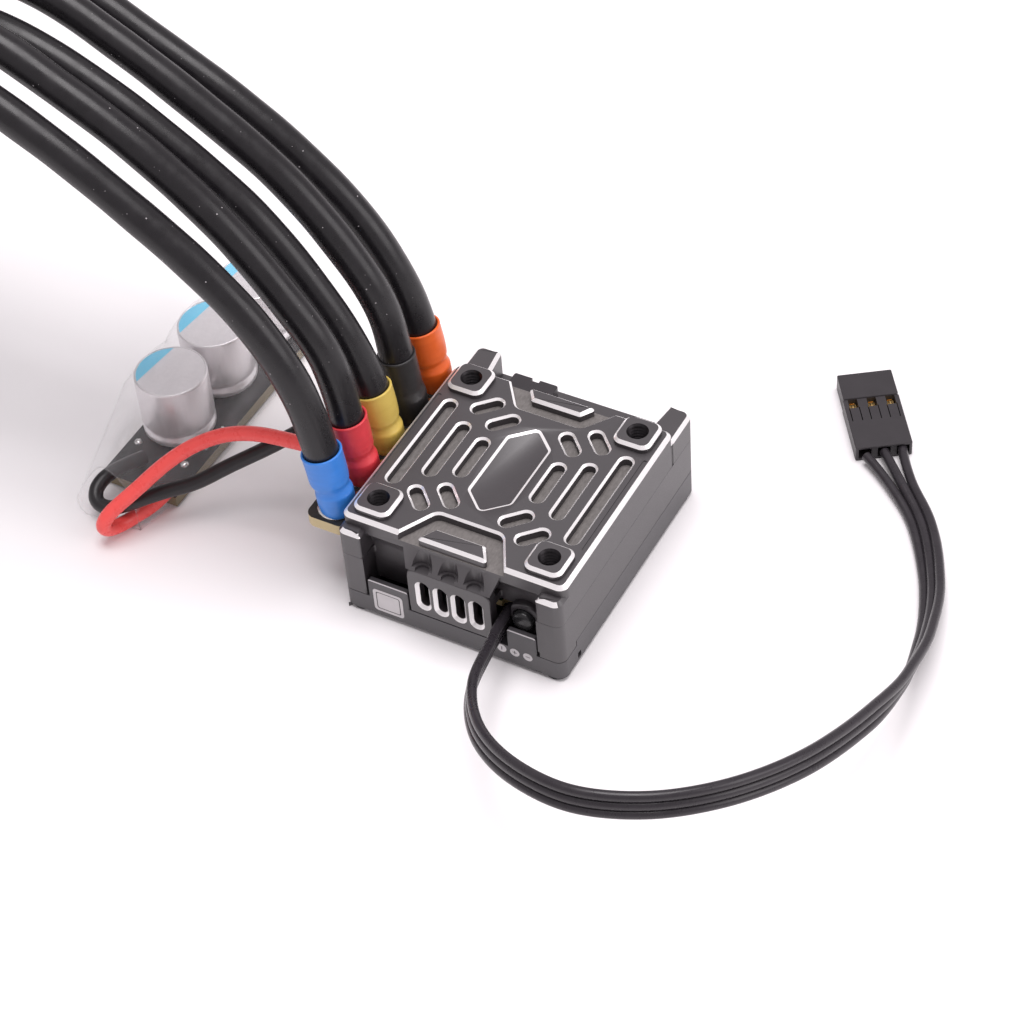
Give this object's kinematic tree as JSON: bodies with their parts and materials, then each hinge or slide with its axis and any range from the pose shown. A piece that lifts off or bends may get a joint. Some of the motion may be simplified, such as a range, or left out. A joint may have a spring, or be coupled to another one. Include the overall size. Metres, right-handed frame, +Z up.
{
  "type": "electronic speed controller",
  "caption": "Sensored brushless motor speed controller with a slotted metal case, thick silicone wires in coloured sleeves, a wired capacitor pack and a flat receiver lead.",
  "frame": {"origin": "centre of the case's flat underside", "axes": "+Z up out of the fan plate, -Y out of the front face with the power button, -X out of the side where the thick wires leave"},
  "size_m": [0.203, 0.0952, 0.0697],
  "materials": {
    "anodised_case": "satin black anodising with bright cut edges",
    "screw_steel": "black oxide",
    "board_black": "black solder mask over glass fibre",
    "board_green": "green solder mask",
    "chip_black": "moulded epoxy",
    "ceramic_tan": "satin",
    "pad_grey": "matte",
    "coil_grey": "pressed powder",
    "plastic_black": "satin",
    "contact_gold": "gold plated",
    "solder": "bright tinned",
    "button_black": "gloss",
    "sleeve_blue": "shrunk plastic film",
    "sleeve_red": "shrunk plastic film",
    "sleeve_yellow": "shrunk plastic film",
    "sleeve_black": "shrunk plastic film",
    "sleeve_orange": "shrunk plastic film",
    "silicone_black": "silicone wire jacket",
    "silicone_red": "silicone wire jacket",
    "cable_black": "soft cable jacket",
    "can_aluminium": "drawn aluminium with a printed colour segment",
    "bung_rubber": "matte",
    "clear_film": "clear shrunk plastic film"
  },
  "bodies": {
    "case": {"top_housing": "anodised_case", "middle_frame": "anodised_case", "base_tray": "anodised_case", "case_screws": "screw_steel", "power_board": "board_black", "mosfets": "chip_black", "thermal_pad": "pad_grey", "control_board": "board_green", "controller_chip": "chip_black", "driver_chip": "chip_black", "ceramic_capacitors": "ceramic_tan", "converter_coil": "coil_grey", "pin_header": "plastic_black", "header_pins": "contact_gold", "button_collar": "plastic_black", "tact_switch": "plastic_black", "sensor_socket": "plastic_black", "sensor_contacts": "contact_gold", "solder_joints": "solder", "sleeve_blue": "sleeve_blue", "sleeve_red": "sleeve_red", "sleeve_yellow": "sleeve_yellow", "sleeve_black": "sleeve_black", "sleeve_orange": "sleeve_orange", "motor_wire_a": "silicone_black", "battery_wire_pos": "silicone_black", "motor_wire_b": "silicone_black", "battery_wire_neg": "silicone_black", "motor_wire_c": "silicone_black", "wire_ends": "solder", "capacitor_cans": "can_aluminium", "capacitor_seals": "bung_rubber", "capacitor_legs": "solder", "capacitor_board": "board_black", "capacitor_sleeve": "clear_film", "capacitor_lead_pos": "silicone_red", "capacitor_lead_neg": "silicone_black", "receiver_cable": "cable_black", "receiver_plug": "plastic_black", "receiver_contacts": "contact_gold"},
    "button": {"power_button": "button_black"}
  },
  "joints": [
    {"name": "button_press", "type": "slide", "parent": "case", "child": "button", "axis": [0, 1, 0], "range_m": [0, 0.0005], "stiffness_N_per_m": 3000}
  ]
}
